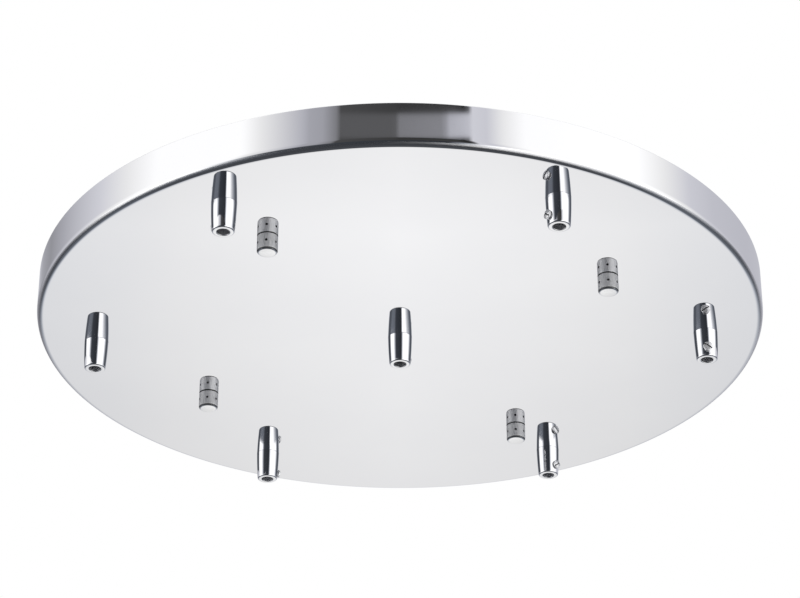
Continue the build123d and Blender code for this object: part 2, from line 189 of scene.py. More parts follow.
def studio_room():
    """The room's light as reflections see it, and plain white where the camera sees past the object."""
    world = bpy.data.worlds.new("studio_room")
    world.use_nodes = True
    tree = world.node_tree
    tree.nodes.clear()
    place = add_node(tree, "ShaderNodeTexCoord")["Generated"]

    def along(direction):
        return vector_sums(tree, "DOT_PRODUCT", place, direction)["Value"]

    angle = sums(tree, "ARCTAN2", along(right_of_camera), along(towards_camera))
    turn = sums(tree, "MULTIPLY_ADD", angle, 1 / (2 * math.pi), 0.5)
    rise = along((0, 0, 1))

    def over_rise(low, high, below=0.0, above=1.0, step="SMOOTHSTEP"):
        """One level below the low elevation and another above the high one, in degrees."""
        low, high = (math.sin(math.radians(degrees)) for degrees in (low, high))
        return ranged(tree, rise, below, above, low, high, step)

    deep = band_ramp(tree, turn, BEHIND_LEFT + DEEP_BANDS + BEHIND_RIGHT)
    low = band_ramp(tree, turn, BEHIND_LEFT + LOW_BANDS + BEHIND_RIGHT)
    card, card_edge = (
        band_ramp(tree, turn, LEFT_BANDS + middle + RIGHT_BANDS, green=0.02, blue=0.42, pale_tint=True)
        for middle in (CARD_BANDS, CARD_EDGE_BANDS)
    )
    fade = sums(tree, "MULTIPLY", over_rise(-30.5, -24.5, 1.0, 0.84, "LINEAR"),
                over_rise(-33, -30.5, 0.93, 1.0, "LINEAR"))
    lower_half = vector_sums(tree, "MULTIPLY", blended(tree, over_rise(-29.7, -28.9), deep, low), fade)[0]
    upper_half = blended(tree, over_rise(32.55, 32.65), card_edge, card)
    upper_half = blended(tree, over_rise(33.08, 33.2), upper_half, card_edge)
    room = blended(tree, over_rise(-17, 2), lower_half, upper_half)
    room = blended(tree, over_rise(-58, -46), DARK_FLOOR_TONE, room)
    reflected = add_node(tree, "ShaderNodeBackground", {"Color": room})[0]
    backdrop = add_node(tree, "ShaderNodeBackground", {"Color": (1, 1, 1, 1)})[0]
    seen = add_node(tree, "ShaderNodeLightPath")["Is Camera Ray"]
    either = add_node(tree, "ShaderNodeMixShader", {0: seen, 1: reflected, 2: backdrop})[0]
    add_node(tree, "ShaderNodeOutputWorld", {"Surface": either})
    bpy.context.scene.world = world


def pale_floor():
    """A plain pale floor, well below the canopy."""
    mesh = bpy.data.meshes.new("pale_floor")
    form = bmesh.new()
    bmesh.ops.create_circle(form, cap_ends=True, segments=96, radius=FLOOR_RADIUS)
    bmesh.ops.translate(form, verts=form.verts, vec=(0, 0, -FLOOR_DROP))
    form.to_mesh(mesh)
    form.free()
    paint = bpy.data.materials.new("pale_floor")
    paint.use_nodes = True
    surface = paint.node_tree.nodes["Principled BSDF"].inputs
    surface["Base Color"].default_value = FLOOR_TONE
    surface["Roughness"].default_value = 0.9
    mesh.materials.append(paint)
    floor = shown("pale_floor", mesh)
    floor.visible_glossy = False


bpy.context.scene.view_settings.view_transform = "Standard"
photo_camera()
studio_room()
pale_floor()


# Canopy pan
# One round tray of thin steel sheet, spun to a flat face, a small corner and a low wall, then pierced,
# polished outside to a mirror and chrome plated. Inside, the plate lies on the bare rolled sheet.

PORTS = range(1, 8)
STUDS = range(1, 5)
PAN_SHEET = 1.2 * MM
PAN_CORNER = 4.0 * MM
PAN_RIM_ROUND = 0.4 * MM
PORT_HOLE_RADIUS = 5.15 * MM
STUD_HOLE_RADIUS = 2.5 * MM
PAN_STEPS = 512
HOLE_STEPS = 48
SEAM_GAP = 0.001 * MM
pan_low, pan_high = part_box("canopy_pan")
pan_radius = (pan_high.x - pan_low.x) / 2
FACE_Z = pan_low.z


def centre_of(node):
    low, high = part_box(node)
    return (low + high) / 2


port_circle_radius = centre_of("threaded_nipple_1").x
stud_circle_radius = centre_of("cap_nut_1").x


def outline_mesh(name, corners, arc_steps=8, rest=0.0):
    """A closed outline of (radius, height, round) corners as a chain of points, with its length along them.
    rest adds a point on each side of a round, so that flat stretches beside it stay flat."""
    points = []
    for number, (x, z, radius) in enumerate(corners):
        here = Vector((x, z))
        if radius <= 0:
            points.append(here)
            continue
        before = (Vector(corners[number - 1][:2]) - here).normalized()
        after = (Vector(corners[(number + 1) % len(corners)][:2]) - here).normalized()
        half_angle = before.angle(after) / 2
        cut = radius / math.tan(half_angle)
        middle = here + (before + after).normalized() * (radius / math.sin(half_angle))
        start, end = here + before * cut, here + after * cut
        first = (start - middle).normalized()
        sweep = first.angle_signed(end - middle)
        arc = [middle + Matrix.Rotation(-sweep * step / arc_steps, 2) @ first * radius
               for step in range(arc_steps + 1)]
        points += [start + before * rest, *arc, end + after * rest] if rest else arc
    points.append(points[0].copy())
    mesh = bpy.data.meshes.new(name)
    mesh.from_pydata([(p.x, 0, p.y) for p in points], [(i, i + 1) for i in range(len(points) - 1)], [])
    along = mesh.attributes.new("along", "FLOAT", "POINT")
    travelled = 0.0
    for number, point in enumerate(points):
        travelled += (point - points[max(0, number - 1)]).length
        along.data[number].value = travelled / MM
    return mesh


def new_tree(name, kind, inputs, outputs):
    """A node tree with named sockets, each given its type or a value that has it."""
    tree = bpy.data.node_groups.new(name, kind)
    types = {int: "Int", float: "Float", Vector: "Vector", tuple: "Color"}
    for side, sockets in (("INPUT", inputs), ("OUTPUT", outputs)):
        for label, value in sockets.items():
            plain = types.get(type(value))
            socket = tree.interface.new_socket(label, in_out=side, socket_type=f"NodeSocket{plain or value}")
            if plain:
                socket.default_value = value
    return tree, tree.nodes.new("NodeGroupInput").outputs, tree.nodes.new("NodeGroupOutput").inputs


def xyz_of(tree, vector=None):
    """The X, Y and Z of a vector, or of each point's own place."""
    if vector is None:
        vector = add_node(tree, "GeometryNodeInputPosition")[0]
    return add_node(tree, "ShaderNodeSeparateXYZ", {0: vector})


def stored(tree, geometry, name, value, data_type, domain):
    """Geometry that keeps a value as a named attribute."""
    return add_node(tree, "GeometryNodeStoreNamedAttribute", {
        "Geometry": geometry, "Name": name, "Value": value,
    }, data_type=data_type, domain=domain)[0]


def turning_tree():
    """Turns an outline about Z: a grid whose rows take their places from the outline's points."""
    tree, given, leave = new_tree("turned_outline", "GeometryNodeTree",
                                  {"Outline": "Geometry", "Steps Around": 96}, {"Turned": "Geometry"})
    size = add_node(tree, "GeometryNodeAttributeDomainSize", {0: given["Outline"]}, component="MESH")
    points = size["Point Count"]
    grid = add_node(tree, "GeometryNodeMeshGrid", {
        "Size X": 1.0, "Size Y": 1.0, "Vertices X": points,
        "Vertices Y": sums(tree, "ADD", given["Steps Around"], 1),
    })["Mesh"]
    place = xyz_of(tree)
    row = sums(tree, "MULTIPLY", sums(tree, "ADD", place["X"], 0.5), sums(tree, "SUBTRACT", points, 1))
    row = sums(tree, "ROUND", row)
    around = sums(tree, "ADD", place["Y"], 0.5)

    def of_outline(data_type, field):
        return add_node(tree, "GeometryNodeSampleIndex", {
            "Geometry": given["Outline"], "Value": field, "Index": row,
        }, data_type=data_type)[0]

    corner = xyz_of(tree, of_outline("FLOAT_VECTOR", add_node(tree, "GeometryNodeInputPosition")[0]))
    angle = sums(tree, "MULTIPLY", around, 2 * math.pi)
    turned = add_node(tree, "ShaderNodeCombineXYZ", {
        "X": sums(tree, "MULTIPLY", corner["X"], sums(tree, "COSINE", angle)),
        "Y": sums(tree, "MULTIPLY", corner["X"], sums(tree, "SINE", angle)),
        "Z": corner["Z"],
    })[0]
    travelled = add_node(tree, "GeometryNodeInputNamedAttribute", {"Name": "along"}, data_type="FLOAT")[0]
    flat = add_node(tree, "ShaderNodeCombineXYZ", {"X": around, "Y": of_outline("FLOAT", travelled)})[0]
    mapped = stored(tree, grid, "UVMap", flat, "FLOAT2", "CORNER")
    bent = add_node(tree, "GeometryNodeSetPosition", {"Geometry": mapped, "Position": turned})[0]
    closed = add_node(tree, "GeometryNodeMergeByDistance", {"Geometry": bent, "Distance": SEAM_GAP})[0]
    feed(tree, leave["Turned"], closed)
    return tree


turned_outline = turning_tree()


def piece_tree(name, sizes):
    """A tree that makes finished pieces from an outline and named sizes."""
    return new_tree(name, "GeometryNodeTree", {
        "Outline": "Geometry", "Steps Around": 96, **sizes, "Finish": "Material",
    }, {"Piece": "Geometry"})


def turned_part(tree, given):
    """The turned outline inside another tree."""
    return add_node(tree, "GeometryNodeGroup", {
        "Outline": given["Outline"], "Steps Around": given["Steps Around"],
    }, node_tree=turned_outline)["Turned"]


def realized(tree, geometry):
    """Instances as real geometry."""
    return add_node(tree, "GeometryNodeRealizeInstances", {0: geometry})[0]


def finished(tree, geometry, given, leave, chosen=None):
    """The last nodes of each tree: real geometry with one finish, and a second one on chosen faces."""
    real = realized(tree, geometry)
    coat = add_node(tree, "GeometryNodeSetMaterial", {"Geometry": real, "Material": given["Finish"]})[0]
    if chosen is not None:
        coat = add_node(tree, "GeometryNodeSetMaterial", {
            "Geometry": coat, "Selection": chosen, "Material": given["Second Finish"],
        })[0]
    feed(tree, leave["Piece"], coat)
    return tree


def moved(tree, geometry, shift=None, turn=None):
    """Geometry turned by Euler angles, then moved."""
    return add_node(tree, "GeometryNodeTransform", {
        "Geometry": geometry, "Translation": shift, "Rotation": turn,
    })["Geometry"]


def cylinder(tree, radius, depth, steps=HOLE_STEPS):
    return add_node(tree, "GeometryNodeMeshCylinder", {
        "Vertices": steps, "Radius": radius, "Depth": depth,
    })["Mesh"]


def ring_of(tree, count, radius):
    return add_node(tree, "GeometryNodeMeshCircle", {"Vertices": count, "Radius": radius})[0]


def on_points(tree, points, piece, turn=None):
    """Instances of a piece on points."""
    return add_node(tree, "GeometryNodeInstanceOnPoints", {
        "Points": points, "Instance": piece, "Rotation": turn,
    })[0]


def less(tree, solid, tools):
    """A solid with tools cut out of it."""
    return add_node(tree, "GeometryNodeMeshBoolean", {0: solid, 1: tools}, operation="DIFFERENCE",
                    solver="EXACT")[0]


def reach_of(tree):
    """Each point's distance from Z, and its place without height."""
    place = add_node(tree, "GeometryNodeInputPosition")[0]
    flat = vector_sums(tree, "MULTIPLY", place, (1, 1, 0))[0]
    return vector_sums(tree, "LENGTH", flat)["Value"], flat


def pierced_pan_tree():
    """A turned tray with holes on two circles and one at the middle, and a second finish inside."""
    tree, given, leave = piece_tree("pierced_pan", {
        "Ports Around": 6, "Port Circle": 0.193, "Port Hole": 0.005, "Studs Around": 4, "Stud Circle": 0.1485,
        "Stud Hole": 0.0025, "Inside Radius": 0.228, "Inside Level": -0.027, "Second Finish": "Material",
    })
    tools = []
    for points, radius in (
        (ring_of(tree, given["Ports Around"], given["Port Circle"]), given["Port Hole"]),
        (add_node(tree, "GeometryNodePoints", {"Count": 1})[0], given["Port Hole"]),
        (ring_of(tree, given["Studs Around"], given["Stud Circle"]), given["Stud Hole"]),
    ):
        tool = realized(tree, on_points(tree, points, cylinder(tree, radius, 4 * PAN_SHEET)))
        tools.append(moved(tree, tool, (0, 0, FACE_Z)))
    inside = sums(tree, "MULTIPLY", sums(tree, "LESS_THAN", reach_of(tree)[0], given["Inside Radius"]),
                  sums(tree, "GREATER_THAN", xyz_of(tree)["Z"], given["Inside Level"]))
    return finished(tree, less(tree, turned_part(tree, given), tools), given, leave, inside)


def worded(values):
    """Named values under the labels that node sockets have."""
    return {name.replace("_", " ").title(): value for name, value in values.items()}


def as_piece(mesh, name, sharp_degrees):
    """A mesh as a smooth piece that keeps its sharp edges."""
    mesh.name = name
    mesh.shade_smooth()
    mesh.set_sharp_from_angle(angle=math.radians(sharp_degrees))
    return shown(name, mesh)


def made_by(tree, name, outline, sharp_degrees=32, **sizes):
    """The plain mesh that a tree makes from an outline and its sizes, as a piece with outward faces."""
    maker = shown(name + "_maker", outline)
    modifier = maker.modifiers.new("maker", "NODES")
    modifier.node_group = tree
    names = {s.name: s.identifier for s in tree.interface.items_tree if s.in_out == "INPUT"}
    for label, value in worded(sizes).items():
        modifier[names[label]] = value
    maker.update_tag()
    depsgraph = bpy.context.evaluated_depsgraph_get()
    mesh = bpy.data.meshes.new_from_object(maker.evaluated_get(depsgraph), depsgraph=depsgraph)
    bpy.data.objects.remove(maker)
    form = bmesh.new()
    form.from_mesh(mesh)
    bmesh.ops.recalc_face_normals(form, faces=form.faces)
    form.to_mesh(mesh)
    form.free()
    return as_piece(mesh, name, sharp_degrees)


def stands_for(piece, slot, *nodes):
    """The piece takes the place of nodes, on their own body."""
    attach(piece, frame["nodes"][nodes[0]]["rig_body"])
    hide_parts(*nodes)


def pattern_tree(name, looks):
    """A shader node group that puts out roughness, colour and height over a surface."""
    outputs = {"Roughness": "Float", "Color": "Color", "Height": "Float"}
    return new_tree(name, "ShaderNodeTree", looks, outputs)


def noise(tree, place, scale, detail=3.0, roughness=0.55):
    """A noise texture on given coordinates. Returns its value socket."""
    return add_node(tree, "ShaderNodeTexNoise", {
        "Vector": place, "Scale": scale, "Detail": detail, "Roughness": roughness,
    })["Fac"]


def polish_group():
    """Polished metal: broad clouds left by the buffing wheel, fine dust, and a faint unevenness."""
    group, given, leave = pattern_tree("buffed_polish", {
        "Cloud Scale": 12.0, "Roughness Low": 0.02, "Roughness High": 0.06,
        "Tone": (0.8, 0.8, 0.81, 1), "Cloud Tone": (0.77, 0.77, 0.785, 1),
    })
    place = add_node(group, "ShaderNodeTexCoord")["Object"]
    clouds = noise(group, place, given["Cloud Scale"], roughness=0.5)
    dust = ranged(group, noise(group, place, 2600.0, 1.0), 0.0, 1.0, 0.70, 0.80)
    base = ranged(group, clouds, given["Roughness Low"], given["Roughness High"], 0.3, 0.7)
    cloud_share = ranged(group, clouds, 0.0, 1.0, 0.35, 0.65)
    feed(group, leave["Roughness"], sums(group, "MULTIPLY_ADD", dust, 0.10, base))
    feed(group, leave["Color"], blended(group, cloud_share, given["Tone"], given["Cloud Tone"]))
    feed(group, leave["Height"], noise(group, place, 60.0, 2.0))
    return group


buffed_polish = polish_group()


def metal(name, pattern, metallic=1.0, bump=0.1, bump_distance=0.01 * MM, **looks):
    """A metal surface whose colour, roughness and bump height come from a pattern."""
    material = bpy.data.materials.new(name)
    material.use_nodes = True
    tree = material.node_tree
    surface = tree.nodes["Principled BSDF"].inputs
    surface["Metallic"].default_value = metallic
    given = add_node(tree, "ShaderNodeGroup", worded(looks), node_tree=pattern)
    relief = add_node(tree, "ShaderNodeBump", {
        "Strength": bump, "Distance": bump_distance, "Height": given["Height"],
    })
    feed(tree, surface["Base Color"], given["Color"])
    feed(tree, surface["Roughness"], given["Roughness"])
    feed(tree, surface["Normal"], relief["Normal"])
    return material


mirror_chrome = metal("mirror_chrome", buffed_polish, bump=0.02, cloud_scale=9.0, roughness_low=0.012,
                      roughness_high=0.03, tone=(0.80, 0.80, 0.812, 1), cloud_tone=(0.785, 0.785, 0.80, 1))
plated_sheet = metal("plated_rolled_sheet", buffed_polish, bump=0.25, bump_distance=0.05 * MM,
                     cloud_scale=45.0, roughness_low=0.26, roughness_high=0.32,
                     tone=(0.61, 0.61, 0.62, 1), cloud_tone=(0.57, 0.57, 0.58, 1))

pan_inner = pan_radius - PAN_SHEET
pan_floor = FACE_Z + PAN_SHEET
pan_outline = outline_mesh("pan_outline", [
    (0, FACE_Z, 0),
    (pan_radius, FACE_Z, PAN_CORNER),
    (pan_radius, 0, PAN_RIM_ROUND),
    (pan_inner, 0, PAN_RIM_ROUND),
    (pan_inner, pan_floor, PAN_CORNER - PAN_SHEET),
    (0, pan_floor, 0),
], arc_steps=12, rest=0.3 * MM)
pan = made_by(
    pierced_pan_tree(), "chrome_pan", pan_outline, steps_around=PAN_STEPS,
    ports_around=len(PORTS) - 1, port_circle=port_circle_radius, port_hole=PORT_HOLE_RADIUS,
    studs_around=len(STUDS), stud_circle=stud_circle_radius, stud_hole=STUD_HOLE_RADIUS,
    inside_radius=pan_radius - PAN_SHEET / 2, inside_level=FACE_Z + PAN_SHEET / 2,
    finish=mirror_chrome, second_finish=plated_sheet,
)
stands_for(pan, "mirror_chrome", "canopy_pan")


# Cord grips
# Seven bushes turned from steel bar, tapered towards the mouth with a slight belly, bored for the cord,
# counterbored and threaded for the nipple, cross drilled for the clamp screw, then polished and chromed.

GRIP_LENGTH = 19.0 * MM
GRIP_TOP_RADIUS = 7.6 * MM
GRIP_MOUTH_RADIUS = 6.65 * MM
GRIP_BELLY = 0.15 * MM
GRIP_TOP_CHAMFER = 0.15 * MM
GRIP_LIP_ROUND = 1.1 * MM
GRIP_MOUTH_ROUND = 0.5 * MM
GRIP_BORE_RADIUS = 3.8 * MM
GRIP_SOCKET_RADIUS = 5.05 * MM
GRIP_SOCKET_DEPTH = 8.3 * MM
GRIP_STEPS = 96
BELLY_STEPS = 14
CLAMP_HOLE_RADIUS = 1.55 * MM
CLAMP_DROP = 13.2 * MM
CLAMP_AZIMUTHS = (-103, -25, 32, 74, 153, 212, -5)


def level_place(node):
    """The upright axis through a node's middle, at the ceiling plane."""
    middle = centre_of(node)
    return Vector((middle.x, middle.y, 0))


def grip_radius(drop):
    """The radius of a grip's side at a depth below the face."""
    share = drop / GRIP_LENGTH
    taper = (GRIP_TOP_RADIUS - GRIP_MOUTH_RADIUS) * share
    return GRIP_TOP_RADIUS - taper + 4 * GRIP_BELLY * share * (1 - share)


def marked_faces(tree, geometry, chosen):
    """Geometry whose chosen faces are marked as a recess. In the grip bores, which the polishing wheel never
    reaches, the mark raises roughness; on the clamp screws and cap nuts it darkens the colour as painted
    shade.
    """
    return stored(tree, geometry, "recess", chosen, "FLOAT", "FACE")


def drilled_bush_tree():
    """A turned bush with one cross hole from its axis outwards, and its bore marked as a recess."""
    tree, given, leave = piece_tree("drilled_bush", {
        "Bore Radius": 0.0038, "Hole Radius": 0.0015, "Hole Turn": "Vector", "Hole Height": "Vector",
        "Place": "Vector",
    })
    drill = cylinder(tree, given["Hole Radius"], 2 * GRIP_TOP_RADIUS)
    level = moved(tree, drill, (GRIP_TOP_RADIUS, 0, 0), (0, math.pi / 2, 0))
    bush = less(tree, turned_part(tree, given), moved(tree, level, given["Hole Height"], given["Hole Turn"]))
    in_bore = sums(tree, "LESS_THAN", reach_of(tree)[0], sums(tree, "ADD", given["Bore Radius"], 0.1 * MM))
    return finished(tree, moved(tree, marked_faces(tree, bush, in_bore), given["Place"]), given, leave)


def turning_marks_group():
    """Turned metal: fine rings round the axis, from the part's own map of turns and millimetres along."""
    group, given, leave = pattern_tree("turning_marks", {
        "Ring Scale": 9.0, "Ring Depth": 1.0, "Roughness Low": 0.04, "Roughness High": 0.10,
        "Tone": (0.78, 0.78, 0.8, 1), "Ring Tone": (0.7, 0.7, 0.72, 1),
    })
    sheet = add_node(group, "ShaderNodeUVMap", uv_map="UVMap")["UV"]
    lines = add_node(group, "ShaderNodeCombineXYZ", {"X": 1.5, "Y": given["Ring Scale"]})[0]
    rings = noise(group, vector_sums(group, "MULTIPLY", sheet, lines)[0], 1.0, 4.0, 0.7)
    handled = noise(group, add_node(group, "ShaderNodeTexCoord")["Object"], 420.0)
    mixed = sums(group, "MULTIPLY_ADD", handled, 0.5, sums(group, "MULTIPLY", rings, 0.5))
    rough = ranged(group, mixed, given["Roughness Low"], given["Roughness High"], 0.35, 0.65)
    ring_share = ranged(group, rings, 0.0, 1.0, 0.45, 0.75)
    feed(group, leave["Roughness"], rough)
    feed(group, leave["Color"], blended(group, ring_share, given["Tone"], given["Ring Tone"]))
    feed(group, leave["Height"], sums(group, "MULTIPLY", rings, given["Ring Depth"]))
    return group


def where_marked(material, attribute, socket):
    """The parts that change a surface where a mesh attribute is high: its tree, input, source and mask."""
    tree = material.node_tree
    target = tree.nodes["Principled BSDF"].inputs[socket]
    mask = add_node(tree, "ShaderNodeAttribute", attribute_name=attribute)["Fac"]
    return tree, target, target.links[0].from_socket, mask


def unpolished(material, attribute, roughness):
    """The material's own roughness, raised to a plain level where a mesh attribute is high."""
    tree, target, source, mask = where_marked(material, attribute, "Roughness")
    feed(tree, target, ranged(tree, mask, source, roughness))


turning_marks = turning_marks_group()
turned_chrome = metal("turned_chrome", turning_marks, bump=0.05, ring_scale=14.0, roughness_low=0.05,
                      roughness_high=0.085, tone=(0.82, 0.82, 0.83, 1), ring_tone=(0.76, 0.765, 0.785, 1))
unpolished(turned_chrome, "recess", 0.5)

mouth_z = FACE_Z - GRIP_LENGTH
clamp_z = FACE_Z - CLAMP_DROP
belly = [step * GRIP_LENGTH / BELLY_STEPS for step in range(1, BELLY_STEPS)]
grip_outline = outline_mesh("grip_outline", [
    (GRIP_TOP_RADIUS - GRIP_TOP_CHAMFER, FACE_Z, 0),
    (GRIP_TOP_RADIUS, FACE_Z - GRIP_TOP_CHAMFER, 0),
    *[(grip_radius(drop), FACE_Z - drop, 0) for drop in belly],
    (GRIP_MOUTH_RADIUS, mouth_z, GRIP_LIP_ROUND),
    (GRIP_BORE_RADIUS, mouth_z, GRIP_MOUTH_ROUND),
    (GRIP_BORE_RADIUS, FACE_Z - GRIP_SOCKET_DEPTH, 0),
    (GRIP_SOCKET_RADIUS, FACE_Z - GRIP_SOCKET_DEPTH, 0),
    (GRIP_SOCKET_RADIUS, FACE_Z, 0),
])
drilled_bush = drilled_bush_tree()
for number, azimuth in zip(PORTS, CLAMP_AZIMUTHS):
    grip = made_by(
        drilled_bush, f"turned_cord_grip_{number}", grip_outline, steps_around=GRIP_STEPS,
        bore_radius=GRIP_BORE_RADIUS, hole_radius=CLAMP_HOLE_RADIUS, hole_turn=(0, 0, math.radians(azimuth)),
        hole_height=(0, 0, clamp_z), place=level_place(f"threaded_nipple_{number}"), finish=turned_chrome,
    )
    stands_for(grip, "turned_chrome", f"cord_grip_{number}")


# Clamp screws
# Seven small screws with slotted and slightly crowned cheese heads, bright nickel plated, one through the
# side of each grip. Each stands on its own body and turns in its hole to hold the cord.

SCREW_THREAD_RADIUS = 1.5 * MM
SCREW_THREAD_PITCH = 0.5 * MM
SCREW_THREAD_DEPTH = 0.2 * MM
SCREW_HEAD_RADIUS = 2.9 * MM
SCREW_HEAD_HEIGHT = 1.5 * MM
SCREW_HEAD_ROUND = 0.35 * MM
SCREW_HEAD_CROWN = 0.45 * MM
SCREW_UNDERCUT = 0.12 * MM
SCREW_STANDOFF = 0.3 * MM
SCREW_TIP = 3.85 * MM
SCREW_TIP_CHAMFER = 0.3 * MM
SCREW_SLOT_WIDTH = 0.8 * MM
SCREW_SLOT_DEPTH = 0.8 * MM
SCREW_STEPS = 64
CLAMP_SLOT_LEANS = (40, 75, 60, 15, -38, -33, 20)
MARK_MARGIN = 0.02 * MM


def slotted_screw_tree():
    """A turned screw with a slot across its head, marked for its shade, then moved to its place."""
    tree, given, leave = piece_tree("slotted_screw", {
        "Slot Size": "Vector", "Slot Height": "Vector", "Slot Turn": "Vector", "Turn": "Vector",
        "Place": "Vector",
    })
    blade = add_node(tree, "GeometryNodeMeshCube", {"Size": given["Slot Size"]})["Mesh"]
    screw = less(tree, turned_part(tree, given), moved(tree, blade, given["Slot Height"]))
    place = add_node(tree, "GeometryNodeInputPosition")[0]
    from_slot = xyz_of(tree, vector_sums(tree, "SUBTRACT", place, given["Slot Height"])[0])
    size = xyz_of(tree, given["Slot Size"])
    beside = sums(tree, "LESS_THAN", sums(tree, "ABSOLUTE", from_slot["Y"]),
                  sums(tree, "MULTIPLY_ADD", size["Y"], 0.5, MARK_MARGIN))
    below = sums(tree, "GREATER_THAN", from_slot["Z"],
                 sums(tree, "MULTIPLY_ADD", size["Z"], -0.5, -MARK_MARGIN))
    # The slot's faces are marked as a recess, where the bright nickel finish paints shade.
    marked = marked_faces(tree, screw, sums(tree, "MULTIPLY", beside, below))
    aligned = moved(tree, marked, turn=given["Slot Turn"])
    return finished(tree, moved(tree, aligned, given["Place"], given["Turn"]), given, leave)


def ringed_shank(radius, depth, pitch, start, end):
    """Outline points of a small screw's thread, crest and root in turn, from start to end."""
    turns = int((end - start) / pitch)
    points = []
    for turn in range(turns):
        points.append((radius - depth, start + (turn + 0.02) * pitch, 0))
        points.append((radius, start + (turn + 0.5) * pitch, 0))
    points.append((radius - depth, start + turns * pitch, 0))
    return points


def painted_shade_where(material, attribute, shade):
    """Painted shade: the material's own colour, darker where a mesh attribute is high."""
    tree, target, source, mask = where_marked(material, attribute, "Base Color")
    feed(tree, target, blended(tree, mask, source, (shade, shade, shade, 1), "MULTIPLY"))


bright_nickel = metal("bright_nickel", turning_marks, metallic=0.4, bump=0.05, ring_scale=20.0,
                      roughness_low=0.16, roughness_high=0.22, tone=(0.98, 0.98, 0.98, 1),
                      ring_tone=(0.92, 0.92, 0.925, 1))
# Painted shade: the screw slots, marked as a recess, are darkened to 0.12 of their colour.
painted_shade_where(bright_nickel, "recess", 0.12)
screw_seat = grip_radius(CLAMP_DROP - SCREW_HEAD_RADIUS) + SCREW_STANDOFF
screw_top = screw_seat + SCREW_HEAD_HEIGHT
screw_outline = outline_mesh("clamp_screw_outline", [
    (0, SCREW_TIP, 0),
    (SCREW_THREAD_RADIUS - SCREW_TIP_CHAMFER, SCREW_TIP, 0),
    *ringed_shank(SCREW_THREAD_RADIUS, SCREW_THREAD_DEPTH, SCREW_THREAD_PITCH, SCREW_TIP + SCREW_TIP_CHAMFER,
                  screw_seat - SCREW_STANDOFF),
    (SCREW_THREAD_RADIUS - SCREW_THREAD_DEPTH, screw_seat, 0),
    (SCREW_HEAD_RADIUS - SCREW_UNDERCUT, screw_seat, 0),
    (SCREW_HEAD_RADIUS, screw_seat + SCREW_UNDERCUT, 0),
    (SCREW_HEAD_RADIUS, screw_top - SCREW_HEAD_CROWN, SCREW_HEAD_ROUND),
    *[(SCREW_HEAD_RADIUS * share, screw_top - SCREW_HEAD_CROWN * share * share, 0)
      for share in (0.75, 0.5, 0.25)],
    (0, screw_top, 0),
], arc_steps=6)
slotted_screw = slotted_screw_tree()
for number, azimuth, lean in zip(PORTS, CLAMP_AZIMUTHS, CLAMP_SLOT_LEANS):
    screw = made_by(
        slotted_screw, f"slotted_clamp_screw_{number}", screw_outline, steps_around=SCREW_STEPS,
        slot_size=(3 * SCREW_HEAD_RADIUS, SCREW_SLOT_WIDTH, 2 * SCREW_SLOT_DEPTH),
        slot_height=(0, 0, screw_top), slot_turn=(0, 0, math.radians(lean)),
        turn=(math.pi / 2, 0, math.pi / 2 + math.radians(azimuth)),
        place=level_place(f"threaded_nipple_{number}") + Vector((0, 0, clamp_z)), finish=bright_nickel,
    )
    stands_for(screw, "screw_chrome", f"clamp_screw_{number}")


# Cap nuts
# Four blind round nuts turned from bar and finely ringed, satin nickel plated, with a polished end. They
# draw the pan up to the bracket, turned by a pin in one of the six holes round the side.

NUT_RADIUS = 6.25 * MM
NUT_HEIGHT = 11.0 * MM
NUT_EDGE_ROUND = 1.6 * MM
NUT_POLISHED_END = 0.55 * MM
NUT_TOP_CHAMFER = 0.4 * MM
NUT_BORE_RADIUS = 2.05 * MM
NUT_BORE_DEPTH = 8.5 * MM
NUT_BORE_CONE = 0.9 * MM
PIN_HOLE_COUNT = 6
PIN_HOLE_RADIUS = 0.8 * MM
PIN_HOLE_DEPTH = 1.6 * MM
PIN_HOLE_DROP = 5.3 * MM
PIN_HOLE_AZIMUTH = 28
PIN_HOLE_STEPS = 24
RING_PITCH = 0.55 * MM
RING_DEPTH = 0.03 * MM
NUT_STEPS = 120


def pinned_nut_tree():
    """A turned nut with radial holes drilled round its side, its inner faces marked for painted shade, and a
    finish each for its side and its end.
    """
    tree, given, leave = piece_tree("pinned_nut", {
        "Pin Holes": 6, "Hole Radius": 0.0008, "Hole Depth": 0.0016, "Side Radius": 0.006,
        "Hole Height": "Vector", "First Hole": "Vector", "End Level": -0.037, "Place": "Vector",
        "Second Finish": "Material",
    })
    depth = sums(tree, "MULTIPLY", given["Hole Depth"], 2.0)
    drill = moved(tree, cylinder(tree, given["Hole Radius"], depth, PIN_HOLE_STEPS), turn=(0, math.pi / 2, 0))
    number = add_node(tree, "GeometryNodeInputIndex")[0]
    step = sums(tree, "DIVIDE", 2 * math.pi, given["Pin Holes"])
    aim = add_node(tree, "ShaderNodeCombineXYZ", {"Z": sums(tree, "MULTIPLY", number, step)})[0]
    ring = on_points(tree, ring_of(tree, given["Pin Holes"], given["Side Radius"]), drill, aim)
    drills = moved(tree, realized(tree, ring), given["Hole Height"], given["First Hole"])
    nut = less(tree, turned_part(tree, given), drills)
    # Faces nearer the axis than the ring floor are marked as a recess, where the satin finish paints shade:
    # the pin holes, the bore, the top face and chamfer against the pan, and a band on the lower edge round
    # just above the polished end.
    floor_of_rings = sums(tree, "SUBTRACT", given["Side Radius"], 0.1 * MM)
    painted_shade_faces = sums(tree, "LESS_THAN", reach_of(tree)[0], floor_of_rings)
    marked = moved(tree, marked_faces(tree, nut, painted_shade_faces), given["Place"])
    at_end = sums(tree, "LESS_THAN", xyz_of(tree)["Z"], given["End Level"])
    return finished(tree, marked, given, leave, at_end)


